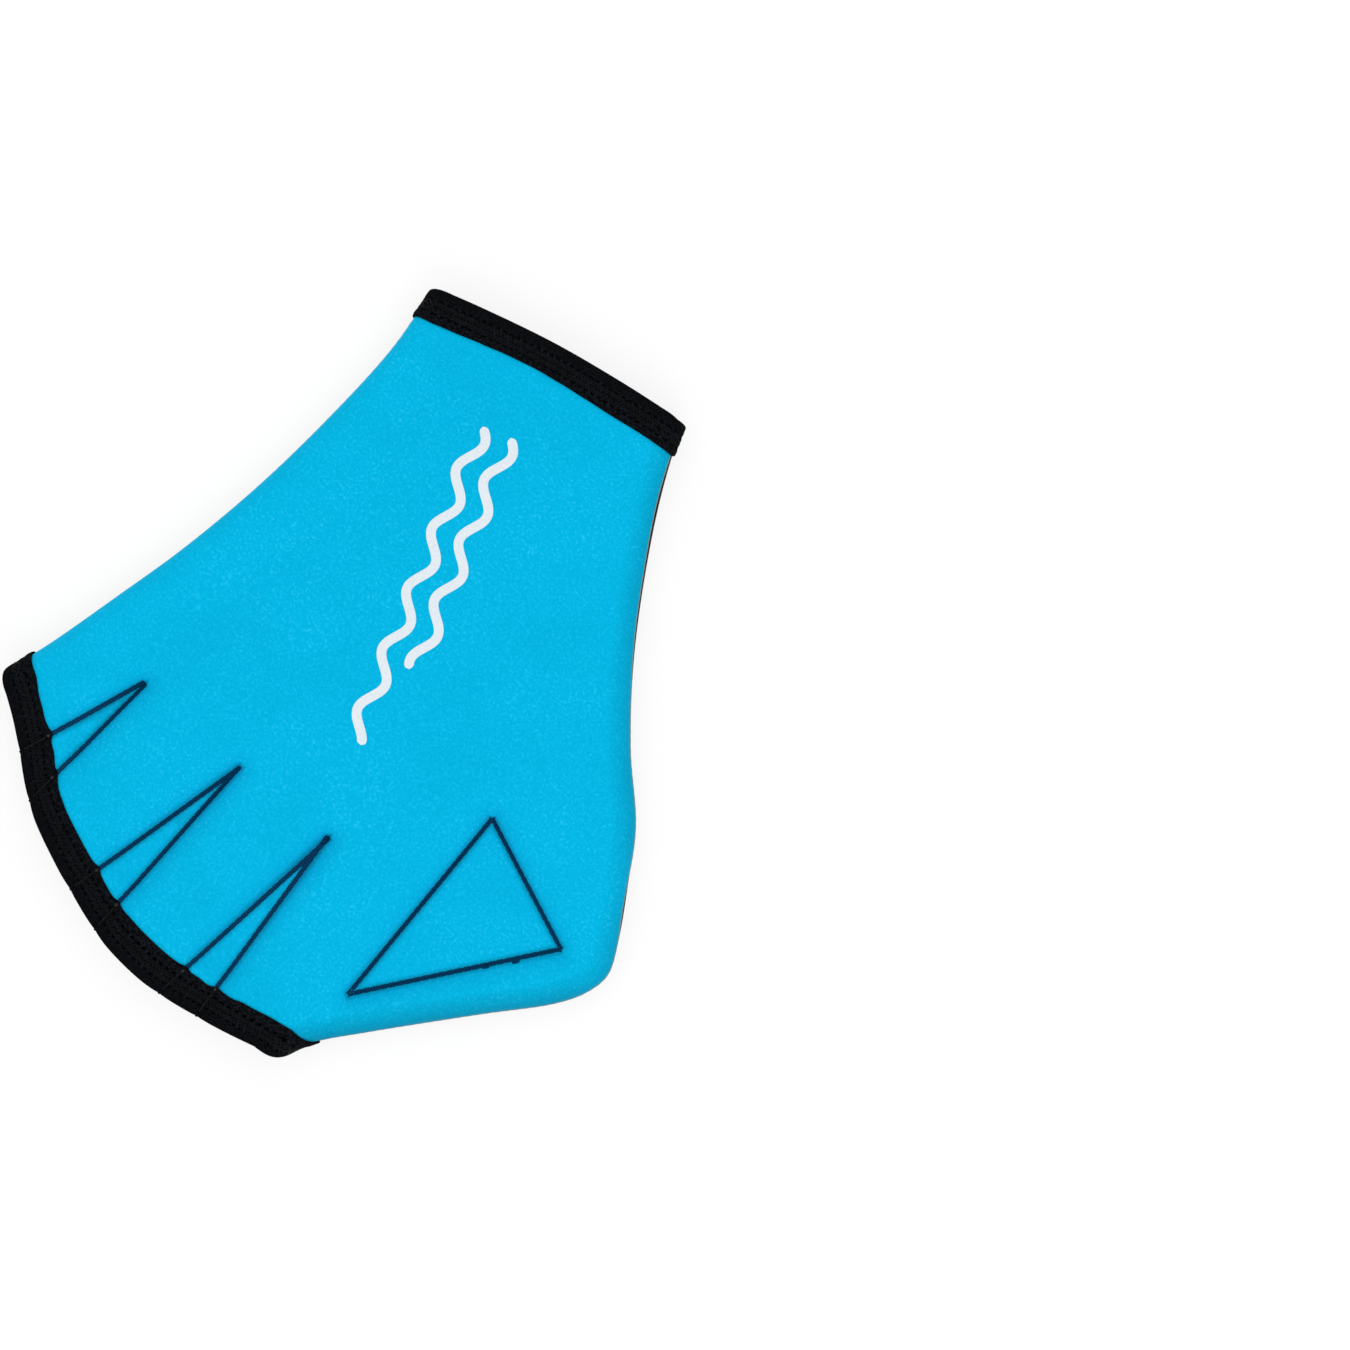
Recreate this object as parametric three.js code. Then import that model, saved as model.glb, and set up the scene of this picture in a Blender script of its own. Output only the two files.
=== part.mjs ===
// A fingerless webbed swim glove for the right hand, lying flat with its back up.
// Two neoprene sheets are joined along both sides, bound with tape at the wrist and at the fingers,
// and sewn to each other along lines that leave a web between the fingers and beside the thumb.
// Units are millimetres. +Y points along the middle finger, +X to the little finger, +Z up.

import * as THREE from "three";

const { lerp, smoothstep, degToRad, clamp } = THREE.MathUtils;

// Overall size of the two sheets, laid flat
const gloveWidth = 200;
const gloveLength = 240;

// Neoprene sheets, and the free height between them
const sheetThickness = 2.2;
const palmLoft = 9.5;
const edgeLoft = 7.4;
const loftStart = 14; // distance from the outline where the height starts to grow
const loftRun = 32; // length over which it grows to palmLoft
const edgeRadius = 6; // rounding of the sheets where they turn into a side seam
const seamGap = 0.3; // between the sheets, at every seam

// Tape folded over the edge of both mouths
const bindingWidth = 10;
const tapeThickness = 0.7;
const tapeClearance = 0.3;
const lipGap = 0.5; // left between the tape's two inner faces where a seam line crosses it
const bindingRamp = 8; // length over which the sheets come down from the tape's thickness
const cornerRelief = 2.2; // how far the mouth's edge draws back at a side fold

// Sewn lines, where the sheets are pulled together
const pinchWidth = 8;
const webLoft = 1.4;
const webPinchWidth = 3;
const pinchShare = 0.35; // part of the pull that lifts the palm sheet off the ground
const thumbPinchShare = 0.3; // the same at the thumb web

// Mesh steps
const ringStep = 9; // along the sides and mouths
const turnStep = degToRad(18); // the most that a side turns in one step
const ringCount = 3; // steps round the edge
const lineStep = 9; // along the sewn lines
const lineRows = [1.8, 4.2, 8]; // distances of the rows beside a sewn line
const fieldStep = 11; // between the points that fill the rest
const fieldClearance = 3; // from those points to the rows at the sides and mouths
const leastSpacing = 1.3; // between any two points
const fineStep = 4; // along the lines that distances are measured from
const fineTurn = degToRad(6);
const samePoint = 0.01; // points nearer than this are one

const bindingStand = tapeClearance + tapeThickness;
const lipStack = 2 * bindingStand + lipGap;
const rowsEnd = bindingWidth + bindingRamp;
const seamHalfAngle = seamGap / (2 * edgeRadius - sheetThickness);

// Flat outline. Each row is a point: across as a share of gloveWidth, along as a share of
// gloveLength, measured from the middle of the palm.
const wristLittle = { across: 0.3205, along: -0.4296 };
const wristThumb = { across: -0.1025, along: -0.5346 };
const fingerLittle = { across: 0.371, along: 0.3088 };
const fingerThumb = { across: -0.351, along: 0.4058 };

const wristEdge = [
  wristLittle,
  { across: 0.241, along: -0.4554 },
  { across: 0.1265, along: -0.4883 },
  { across: 0.0095, along: -0.5142 },
  wristThumb,
];
const fingerEdge = [
  fingerLittle,
  { across: 0.301, along: 0.3417 },
  { across: 0.203, along: 0.3992 },
  { across: 0.092, along: 0.4346 },
  { across: -0.0225, along: 0.4588 },
  { across: -0.1395, along: 0.4579 },
  { across: -0.2555, along: 0.4329 },
  fingerThumb,
];
const littleSide = [
  wristLittle,
  { across: 0.302, along: -0.334 },
  { across: 0.296, along: -0.213 },
  { across: 0.299, along: -0.088 },
  { across: 0.313, along: 0.037 },
  { across: 0.332, along: 0.135 },
  { across: 0.3525, along: 0.234 },
  fingerLittle,
];
const thumbSide = [
  wristThumb,
  { across: -0.128, along: -0.489 },
  { across: -0.19, along: -0.404 },
  { across: -0.2965, along: -0.2838 },
  { across: -0.398, along: -0.192 },
  { across: -0.488, along: -0.126 },
  { across: -0.542, along: -0.068 },
  { across: -0.6, along: 0.001 },
  { across: -0.621, along: 0.037 },
  { across: -0.617, along: 0.07 },
  { across: -0.596, along: 0.1075 },
  { across: -0.524, along: 0.1883 },
  { across: -0.42, along: 0.308 },
  { across: -0.369, along: 0.37 },
  fingerThumb,
];

// How far each side seam rolls up over the edge: share is the place along the side from the
// wrist, degrees the angle above the widest line.
const littleRoll = [
  { share: 0, degrees: -6 },
  { share: 1, degrees: -10 },
];
const thumbRoll = [
  { share: 0, degrees: 20 },
  { share: 0.09, degrees: 30 },
  { share: 0.2, degrees: 25 },
  { share: 0.36, degrees: 12 },
  { share: 0.46, degrees: 4 },
  { share: 0.55, degrees: 24 },
  { share: 0.62, degrees: 3 },
  { share: 1, degrees: -6 },
];

// Webs between the fingers: the tip of each is placed as the outline is, and its two lines run
// to the finger edge at nearLittle and nearThumb, shares of that edge from the little finger.
const fingerWebs = [
  { across: 0.2055, along: 0.1912, nearLittle: 0.161, nearThumb: 0.259 },
  { across: 0.0095, along: 0.1817, nearLittle: 0.4545, nearThumb: 0.547 },
  { across: -0.164, along: 0.1642, nearLittle: 0.728, nearThumb: 0.814 },
];
// Web beside the thumb, a closed triangle
const thumbWeb = [
  { across: -0.323, along: -0.0021 },
  { across: -0.3575, along: 0.29 },
  { across: -0.541, along: 0.0546 },
];

const placed = (row) =>
  new THREE.Vector3(row.across * gloveWidth, row.along * gloveLength, 0);

function planCurve(rows) {
  const curve = new THREE.CatmullRomCurve3(rows.map(placed));
  curve.arcLengthDivisions = 40 * rows.length;
  return curve;
}

// The point at an arc length along a curve, straight on past either end.
function along(curve, arc) {
  const length = curve.getLength();
  const inside = clamp(arc, 0, length);
  const share = inside / length;
  return curve
    .getPointAt(share)
    .addScaledVector(curve.getTangentAt(share), arc - inside);
}

// Arc lengths from start to end: no step is longer than step, none turns more than turn.
function walk(curve, start, end, step, turn) {
  const length = curve.getLength();
  const fine = Math.ceil(end - start);
  const arcs = [];
  const spent = [];
  for (let i = 0; i <= fine; i++) {
    const arc = lerp(start, end, i / fine);
    const before = i && curve.getTangentAt(arcs[i - 1] / length);
    const turned = i ? before.angleTo(curve.getTangentAt(arc / length)) : 0;
    arcs.push(arc);
    spent.push(
      i ? spent[i - 1] + (arc - arcs[i - 1]) / step + turned / turn : 0,
    );
  }
  const count = Math.ceil(spent[fine]);
  const found = [];
  for (let k = 0, i = 0; k <= count; k++) {
    const wanted = (spent[fine] * k) / count;
    while (i < fine - 1 && spent[i + 1] < wanted) i++;
    const part = (wanted - spent[i]) / (spent[i + 1] - spent[i]);
    found.push(lerp(arcs[i], arcs[i + 1], clamp(part, 0, 1)));
  }
  return found;
}

const littleCurve = planCurve(littleSide);
const thumbCurve = planCurve(thumbSide);

// A side seam that other points are measured from. inwardTurn is the quarter turn from its
// direction to the inside of the glove.
function rail(curve, inwardTurn, roll) {
  const length = curve.getLength();
  const arcs = walk(curve, 0, length, fineStep, fineTurn);
  const spare = 2 * edgeRadius;
  const stops = [-spare, ...arcs, length + spare];
  const points = stops.map((arc) => along(curve, arc));
  const inwardAt = (arc) => {
    const tangent = curve.getTangentAt(clamp(arc / length, 0, 1));
    return new THREE.Vector3(-tangent.y, tangent.x, 0).multiplyScalar(inwardTurn);
  };
  return { curve, roll, length, stops, points, inwardAt };
}
const rails = [
  rail(littleCurve, 1, littleRoll),
  rail(thumbCurve, -1, thumbRoll),
];

function seamAngle(roll, share) {
  let i = 0;
  while (i < roll.length - 2 && roll[i + 1].share < share) i++;
  const [from, to] = [roll[i], roll[i + 1]];
  const part = smoothstep(share, from.share, to.share);
  return degToRad(lerp(from.degrees, to.degrees, part));
}

// The nearest point of a line between two others, as the share of the way and the distance.
function nearestOnLine(point, from, to) {
  const way = to.clone().sub(from);
  const share = clamp(
    point.clone().sub(from).dot(way) / way.lengthSq(),
    0,
    1,
  );
  const foot = from.clone().addScaledVector(way, share);
  return { share, distance: foot.distanceTo(point) };
}

function nearestRail(point) {
  let best = { distance: Infinity };
  for (const side of rails) {
    for (let i = 0; i < side.points.length - 1; i++) {
      const near = nearestOnLine(point, side.points[i], side.points[i + 1]);
      if (near.distance < best.distance) best = { ...near, side, i };
    }
  }
  const { side, i, share } = best;
  const arc = lerp(side.stops[i], side.stops[i + 1], share);
  const foot = along(side.curve, arc);
  const inward = side.inwardAt(arc);
  const distance = Math.max(0, point.clone().sub(foot).dot(inward));
  const seam = seamAngle(side.roll, clamp(arc / side.length, 0, 1));
  return { distance, foot, inward, seam };
}

// A mouth: its edge from the little finger's side to the thumb's, and the seam lines that cross
// it. fromWrist says which end of the sides it is at. A slant is how fast the edge leaves a side.
function mouth(rows, fromWrist, crossings) {
  const edge = planCurve(rows);
  const length = edge.getLength();
  const fineArcs = walk(edge, 0, length, fineStep, fineTurn);
  const outline = fineArcs.map((arc) => along(edge, arc));
  const slant = (curve, edgeShare) =>
    edge
      .getTangentAt(edgeShare)
      .cross(curve.getTangentAt(fromWrist ? 0 : 1))
      .length();
  const slants = { little: slant(littleCurve, 0), thumb: slant(thumbCurve, 1) };
  return { edge, length, fromWrist, crossings, outline, slants };
}

const fingerCurve = planCurve(fingerEdge);
const fingerLength = fingerCurve.getLength();
const webLines = fingerWebs.map((web) => {
  const tip = placed(web);
  return [web.nearLittle, web.nearThumb].map((share) => {
    const arc = share * fingerLength;
    return { arc, tip, end: along(fingerCurve, arc) };
  });
});
const wristMouth = mouth(wristEdge, true, []);
const fingerMouth = mouth(fingerEdge, false, webLines.flat());
const mouths = [wristMouth, fingerMouth];

// Sewn lines, each from start to end. Those of the fingers run on past the edge, so that the
// tape round it is pulled in too.
const thumbCorners = thumbWeb.map(placed);
const sewnLines = [
  ...webLines.flat().map(({ tip, end }) => {
    const past = end.clone().sub(tip).setLength(2 * bindingStand);
    return { start: tip, end: end.clone().add(past), lift: pinchShare };
  }),
  ...thumbCorners.map((corner, i) => ({
    start: corner,
    end: thumbCorners[(i + 1) % thumbCorners.length],
    lift: thumbPinchShare,
  })),
];
const webAreas = [
  ...webLines.map((_, i) => [
    sewnLines[2 * i].start,
    sewnLines[2 * i].end,
    sewnLines[2 * i + 1].end,
  ]),
  thumbCorners,
];

function insideOf(polygon, point) {
  let inside = false;
  polygon.forEach((a, i) => {
    const b = polygon[(i + 1) % polygon.length];
    const crosses = a.y > point.y !== b.y > point.y;
    const x = a.x + ((point.y - a.y) / (b.y - a.y)) * (b.x - a.x);
    if (crosses && point.x < x) inside = !inside;
  });
  return inside;
}

function distanceToPath(point, path) {
  let least = Infinity;
  for (let i = 0; i < path.length - 1; i++)
    least = Math.min(
      least,
      nearestOnLine(point, path[i], path[i + 1]).distance,
    );
  return least;
}

const nearestMouth = (point) =>
  Math.min(...mouths.map((m) => distanceToPath(point, m.outline)));

const roundRise = (share) => Math.sqrt(1 - (1 - Math.min(1, share)) ** 2);

// The hollow over a plan point: the height of the palm sheet's inner face, and the free gap.
function hollowAt(point, toSide) {
  const toMouth = nearestMouth(point);
  const { toLine, lift } = sewnLines
    .map((l) => ({ toLine: nearestOnLine(point, l.start, l.end).distance, lift: l.lift }))
    .reduce((a, b) => (b.toLine < a.toLine ? b : a));
  const cover = 1 - smoothstep(toMouth, bindingWidth, rowsEnd);
  const grown = smoothstep(
    Math.min(toMouth, toSide),
    loftStart,
    loftStart + loftRun,
  );
  const open = lerp(edgeLoft, palmLoft, grown);
  const tight = lerp(seamGap, lipStack, cover);
  const web = webAreas.some((area) => insideOf(area, point));
  const full = web ? tight + webLoft : open;
  const swell = roundRise(toLine / (web ? webPinchWidth : pinchWidth));
  const gap = lerp(tight, full, swell);
  const lower = cover * bindingStand + sheetThickness + lift * (open - gap);
  return { lower, gap };
}

const BACK = 1;
const PALM = -1;

// Where a plan point of a sheet lies in space. depth is measured in from the sheet's outer face,
// so a negative depth is outside it. Near a side the sheet turns round the edge to the seam.
function place(point, face, depth) {
  const side = nearestRail(point);
  const { lower, gap } = hollowAt(point, side.distance);
  const reach = Math.min(1, side.distance / edgeRadius);
  const seam = side.seam + face * seamHalfAngle;
  const angle = lerp(seam, (face * Math.PI) / 2, reach);
  const half = gap / 2 + sheetThickness - depth;
  const spot = point.clone();
  if (reach < 1) {
    const inset = edgeRadius - (edgeRadius - depth) * Math.cos(angle);
    spot.copy(side.foot).addScaledVector(side.inward, inset);
  }
  spot.z = lower + gap / 2 + half * Math.sin(angle);
  return spot;
}

// How far a row of a mouth, inset from its edge, moves along one side.
function sideShift(m, curve, arc, inset) {
  const draw = cornerRelief * (1 - Math.min(1, arc / edgeRadius)) ** 2;
  const drawn = inset + draw * clamp(1 - inset / bindingWidth, 0, 1);
  const length = curve.getLength();
  const end = m.fromWrist ? 0 : length;
  const way = m.fromWrist ? drawn : -drawn;
  return along(curve, end + way).sub(along(curve, end));
}

// A plan point near a mouth: arc along its edge, and inset from it along the sides and lines.
function mouthPoint(m, arc, inset) {
  const guides = [
    { arc: edgeRadius, shift: sideShift(m, littleCurve, arc, inset) },
    ...m.crossings.map((line) => ({
      arc: line.arc,
      shift: line.tip.clone().sub(line.end).setLength(1).multiplyScalar(inset),
    })),
    {
      arc: m.length - edgeRadius,
      shift: sideShift(m, thumbCurve, m.length - arc, inset),
    },
  ];
  let i = 0;
  while (i < guides.length - 2 && guides[i + 1].arc < arc) i++;
  const [from, to] = [guides[i], guides[i + 1]];
  const part = clamp((arc - from.arc) / (to.arc - from.arc), 0, 1);
  return along(m.edge, arc).add(from.shift.clone().lerp(to.shift, part));
}

// Rounded edge of a sheet, as distances from the side
const ringRows = Array.from(
  { length: ringCount + 1 },
  (_, k) => (k / ringCount) * edgeRadius,
);

// Arc lengths along a mouth's edge where the sheets and the tape both have a corner.
function mouthStations(m) {
  const wanted = [
    ...ringRows.map((row) => row / m.slants.little),
    ...ringRows.map((row) => m.length - row / m.slants.thumb),
    ...m.crossings.map((line) => line.arc),
    ...lineRows.flatMap((row) =>
      m.crossings.flatMap((line) => [line.arc - row, line.arc + row]),
    ),
  ];
  const kept = [];
  for (const arc of wanted)
    if (kept.every((other) => Math.abs(other - arc) > leastSpacing))
      kept.push(arc);
  kept.sort((a, b) => a - b);
  return kept.flatMap((arc, i) => {
    if (i === kept.length - 1) return [arc];
    const span = kept[i + 1] - arc;
    const parts = Math.ceil(span / ringStep);
    return Array.from({ length: parts }, (_, k) => arc + (span * k) / parts);
  });
}

// Rows of plan points round each mouth, from the inmost to the edge
const stripInsets = [rowsEnd, (bindingWidth + rowsEnd) / 2, bindingWidth, 0];
const stripRow = (m, inset) =>
  mouthStations(m).map((arc) => mouthPoint(m, arc, inset));

// Rows of plan points down one side, between the inmost rows of the two mouths.
function sideRows({ curve, length, inwardAt }) {
  const arcs = walk(curve, rowsEnd, length - rowsEnd, ringStep, turnStep);
  return arcs
    .slice(1, -1)
    .map((arc) =>
      ringRows.map((row) => along(curve, arc).addScaledVector(inwardAt(arc), row)),
    );
}
const [littleRows, thumbRows] = rails.map(sideRows);

// The closed path round the plan between the two mouths' strips.
const innerOutline = [
  ...stripRow(wristMouth, rowsEnd).reverse(),
  ...littleRows.map((rows) => rows[0]),
  ...stripRow(fingerMouth, rowsEnd),
  ...thumbRows.map((rows) => rows[0]).reverse(),
];

// Plan points between the strips. Each keeps clear of those before it, and of the sewn lines.
function innerPoints() {
  const points = mouths.flatMap((m) => stripRow(m, rowsEnd));
  points.push(...littleRows.flat(), ...thumbRows.flat());
  const ties = []; // pairs of points that an edge of the mesh joins
  const onTie = (point) =>
    ties.some(([a, b]) => a.clone().sub(point).dot(b.clone().sub(point)) < 0);
  const clearOf = (point, spacing) =>
    !onTie(point) &&
    points.every((other) => other.distanceTo(point) > spacing);

  const beside = [];
  for (const [i, { start, end }] of sewnLines.entries()) {
    const crossing = i < fingerMouth.crossings.length;
    const full = end.clone().sub(start);
    const cut = crossing ? rowsEnd + 2 * bindingStand : 0;
    const way = full.clone().setLength(full.length() - cut);
    const steps = Math.round(way.length() / lineStep);
    const across = new THREE.Vector3(-way.y, way.x, 0).normalize();
    const last = crossing ? steps - 1 : steps;
    const path = [];
    for (let k = 0; k <= last; k++) {
      const stop = start.clone().addScaledVector(way, k / steps);
      path.push(stop);
      if (points.every((other) => other.distanceTo(stop) > samePoint))
        points.push(stop);
      for (const row of lineRows)
        for (const turn of [row, -row])
          beside.push({ row, point: stop.clone().addScaledVector(across, turn) });
    }
    path.slice(1).forEach((point, k) => ties.push([path[k], point]));
  }
  for (const row of lineRows) {
    const spacing = row === lineRows[0] ? leastSpacing : 2 * leastSpacing;
    for (const { point } of beside.filter((found) => found.row === row))
      if (clearOf(point, spacing)) points.push(point);
  }

  const rise = (fieldStep * Math.sqrt(3)) / 2;
  const [columns, lines] = [gloveWidth / fieldStep, gloveLength / rise].map(Math.ceil);
  for (let j = -lines; j <= lines; j++)
    for (let i = -columns; i <= columns; i++) {
      const x = (i + (j % 2 ? 0.5 : 0)) * fieldStep;
      const point = new THREE.Vector3(x, j * rise, 0);
      const within =
        insideOf(innerOutline, point) &&
        nearestRail(point).distance > edgeRadius + fieldClearance &&
        nearestMouth(point) > rowsEnd + fieldClearance;
      if (within && clearOf(point, 0.6 * fieldStep)) points.push(point);
    }
  return points;
}

// Triangles between plan points by Bowyer and Watson's method. Each point is nudged a little
// while it works, because rows of points otherwise share circles.
function delaunay(points) {
  const nudge = (i, turn) => 0.002 * Math.sin(12.9898 * i + turn);
  const flat = points.map((p, i) => ({ x: p.x + nudge(i, 0), y: p.y + nudge(i, 2) }));
  const far = 50 * (gloveWidth + gloveLength); // corners of a triangle round them all
  const first = flat.length;
  flat.push({ x: -far, y: -far }, { x: far, y: -far }, { x: 0, y: far });
  const withCircle = (a, b, c) => {
    const [p, q, s] = [flat[a], flat[b], flat[c]];
    const [qx, qy, sx, sy] = [q.x - p.x, q.y - p.y, s.x - p.x, s.y - p.y];
    const twice = 2 * (qx * sy - qy * sx);
    const [qq, ss] = [qx * qx + qy * qy, sx * sx + sy * sy];
    const x = (sy * qq - qy * ss) / twice;
    const y = (qx * ss - sx * qq) / twice;
    return { corners: [a, b, c], x: p.x + x, y: p.y + y, reach: x * x + y * y };
  };
  let found = [withCircle(first, first + 1, first + 2)];
  for (let i = 0; i < first; i++) {
    const { x, y } = flat[i];
    const rim = new Map();
    found = found.filter((t) => {
      if ((t.x - x) ** 2 + (t.y - y) ** 2 >= t.reach) return true;
      t.corners.forEach((a, k) => {
        const b = t.corners[(k + 1) % 3];
        if (!rim.delete(`${b},${a}`)) rim.set(`${a},${b}`, [a, b]);
      });
      return false;
    });
    for (const [a, b] of rim.values()) found.push(withCircle(a, b, i));
  }
  return found
    .map((t) => t.corners)
    .filter((corners) => corners.every((i) => i < first));
}

// The flat mesh that both sheets follow: its points, its triangles and its boundary edges.
function planMesh() {
  const points = innerPoints();
  const least = 0.05;
  const triangles = delaunay(points).filter(([a, b, c]) => {
    const [p, q, s] = [points[a], points[b], points[c]];
    const middle = p.clone().add(q).add(s).divideScalar(3);
    const area = q.clone().sub(p).cross(s.clone().sub(p)).length() / 2;
    return area > least && insideOf(innerOutline, middle);
  });

  let first = 0;
  for (const m of mouths) {
    const count = mouthStations(m).length;
    let inner = Array.from({ length: count }, (_, k) => first + k);
    first += count;
    for (const inset of stripInsets.slice(1)) {
      const outer = stripRow(m, inset).map((point) => points.push(point) - 1);
      for (let k = 0; k < count - 1; k++)
        for (const [a, b, c] of [
          [inner[k], outer[k], outer[k + 1]],
          [inner[k], outer[k + 1], inner[k + 1]],
        ])
          triangles.push(m.fromWrist ? [a, c, b] : [a, b, c]);
      inner = outer;
    }
  }

  const rim = new Map();
  for (const corners of triangles)
    corners.forEach((a, k) => {
      const b = corners[(k + 1) % 3];
      if (!rim.delete(`${b},${a}`)) rim.set(`${a},${b}`, [a, b]);
    });
  return { points, triangles, rim: [...rim.values()] };
}

function solidGeometry(vertices, triangles) {
  const geometry = new THREE.BufferGeometry().setFromPoints(vertices);
  geometry.setIndex(triangles.flat());
  geometry.computeVertexNormals();
  return geometry;
}

function sheetGeometry(plan, face) {
  const count = plan.points.length;
  const vertices = [0, sheetThickness].flatMap((depth) =>
    plan.points.map((point) => place(point, face, depth)),
  );
  const outer = plan.triangles;
  const inner = plan.triangles.map(([a, b, c]) => [a + count, c + count, b + count]);
  const walls = plan.rim.flatMap(([a, b]) =>
    a < b
      ? [
          [a + count, b + count, b],
          [a + count, b, a],
        ]
      : [
          [a + count, b + count, a],
          [b + count, b, a],
        ],
  );
  const turned = ([a, b, c]) => (face === BACK ? [a, b, c] : [a, c, b]);
  return solidGeometry(vertices, [...outer, ...inner, ...walls].map(turned));
}

// The tape's section round a sheet's edge: inset from the edge, and depth in the sheet.
const tapeSection = [
  { inset: bindingWidth, depth: -bindingStand },
  { inset: 0, depth: -bindingStand },
  { inset: -bindingStand, depth: 0.2 * sheetThickness },
  { inset: -bindingStand, depth: 0.8 * sheetThickness },
  { inset: 0, depth: sheetThickness + bindingStand },
  { inset: bindingWidth, depth: sheetThickness + bindingStand },
  { inset: bindingWidth, depth: sheetThickness + tapeClearance },
  { inset: 0, depth: sheetThickness + tapeClearance },
  { inset: -tapeClearance, depth: sheetThickness },
  { inset: -tapeClearance, depth: 0 },
  { inset: 0, depth: -tapeClearance },
  { inset: bindingWidth, depth: -tapeClearance },
];

// One band of tape round a mouth: along the back sheet's edge, and home along the palm sheet's.
// Each four corners are split the way the sheet beneath them is.
function bindingGeometry(m) {
  const arcs = mouthStations(m);
  const loop = [
    ...arcs.map((arc) => ({ arc, face: BACK })),
    ...arcs.toReversed().map((arc) => ({ arc, face: PALM })),
  ];
  const vertices = loop.flatMap(({ arc, face }) =>
    tapeSection.map(({ inset, depth }) =>
      place(mouthPoint(m, arc, inset), face, depth),
    ),
  );
  const wide = tapeSection.length;
  const triangles = loop.flatMap(({ face }, i) => {
    const here = i * wide;
    const next = ((i + 1) % loop.length) * wide;
    return tapeSection.flatMap(({ inset }, k) => {
      const l = (k + 1) % wide;
      const outwards = inset >= tapeSection[l].inset;
      const quad =
        outwards === (face === BACK)
          ? [
              [here + k, next + k, next + l],
              [here + k, next + l, here + l],
            ]
          : [
              [here + k, next + k, here + l],
              [next + k, next + l, here + l],
            ];
      return m.fromWrist ? quad : quad.map(([a, b, c]) => [a, c, b]);
    });
  });
  return solidGeometry(vertices, triangles);
}

function named(name, geometry, colour, roughness) {
  const material = new THREE.MeshStandardMaterial({ color: colour, roughness });
  const mesh = new THREE.Mesh(geometry, material);
  mesh.name = name;
  return mesh;
}

const plan = planMesh();
const glove = new THREE.Group();
glove.add(
  named("back_sheet", sheetGeometry(plan, BACK), 0x03b3e4, 0.85),
  named("palm_sheet", sheetGeometry(plan, PALM), 0x17191b, 0.85),
  named("wrist_binding", bindingGeometry(wristMouth), 0x0b0b0c, 0.8),
  named("finger_binding", bindingGeometry(fingerMouth), 0x0b0b0c, 0.8),
);

// The origin is on the ground, under the middle of the glove.
const extent = new THREE.Box3().setFromObject(glove);
const middle = extent.getCenter(new THREE.Vector3());
glove.children.forEach((mesh) =>
  mesh.position.set(-middle.x, -middle.y, -extent.min.z),
);

export default glove;
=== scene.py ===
import math
from functools import partial

import bpy
import numpy as np
from mathutils import Matrix, Vector, kdtree
from mathutils.geometry import delaunay_2d_cdt
from numpy.linalg import norm


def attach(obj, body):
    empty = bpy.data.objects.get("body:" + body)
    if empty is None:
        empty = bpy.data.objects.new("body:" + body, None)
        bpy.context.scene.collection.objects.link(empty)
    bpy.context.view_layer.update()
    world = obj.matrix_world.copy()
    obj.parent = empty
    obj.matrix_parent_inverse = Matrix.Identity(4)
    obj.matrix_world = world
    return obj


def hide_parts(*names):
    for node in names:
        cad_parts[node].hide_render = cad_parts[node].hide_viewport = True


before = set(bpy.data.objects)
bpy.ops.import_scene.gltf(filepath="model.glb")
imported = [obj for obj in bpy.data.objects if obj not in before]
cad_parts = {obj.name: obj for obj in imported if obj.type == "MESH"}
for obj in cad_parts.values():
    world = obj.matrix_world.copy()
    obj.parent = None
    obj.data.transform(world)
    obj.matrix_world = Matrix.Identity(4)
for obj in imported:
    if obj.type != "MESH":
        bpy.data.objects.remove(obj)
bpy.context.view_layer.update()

# A fingerless webbed swim glove for the right hand, lying on its palm.
# The plan is drawn in millimetres, +Y along the middle finger and +X to the little finger.
mm = 0.001
palmMiddle = (24.857, 8.476)  # the plan's origin in the CAD frame, mm


# colours, nodes and materials

def srgb(hexText):
    channels = [int(hexText[i:i + 2], 16) / 255 for i in (1, 3, 5)]
    linear = [c / 12.92 if c <= 0.04045 else ((c + 0.055) / 1.055) ** 2.4 for c in channels]
    return (*linear, 1.0)


def socketOf(node, name):
    # by its name, with _ for a space, or i2 for the third
    byNumber = name[0] == "i" and name[1:].isdigit()
    return node.inputs[int(name[1:])] if byNumber else node.inputs.get(name.replace("_", " "))


def join(node, links):
    # each link comes from a socket, or from the first output of a node
    for name, start in links.items():
        start = start.outputs[0] if isinstance(start, bpy.types.Node) else start
        node.id_data.links.new(start, socketOf(node, name))


def addNode(tree, kind, links=None, **settings):
    # a setting is for a socket or for a property of the node
    node = tree.nodes.new("ShaderNode" + kind)
    for name, value in settings.items():
        if socketOf(node, name) is None:
            setattr(node, name, value)
        else:
            socketOf(node, name).default_value = value
    join(node, links or {})
    return node


def newMaterial(name, **sockets):
    # the material, its shader and what adds nodes to it
    material = bpy.data.materials.new(name)
    material.use_nodes = True
    add = partial(addNode, material.node_tree)
    material.node_tree.nodes.clear()
    shader = add("BsdfPrincipled", **sockets)
    add("OutputMaterial", {"Surface": shader})
    return material, shader, add


# camera, light and floor

view = {
    "imagePixels": 1350,
    "mmPerPixel": 0.31,
    "middle": (-73.18, -71.94),  # plan point at the middle of the photo, mm
    "height": 7.0,  # mm over the floor where mmPerPixel holds
    "distance": 1150.0,
    "sensor": 36.0,
    "farthest": 10.0,  # m, where the camera stops seeing
    "photoRight": (-1, -1),  # plan direction that the photo shows to the right
}


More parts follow.
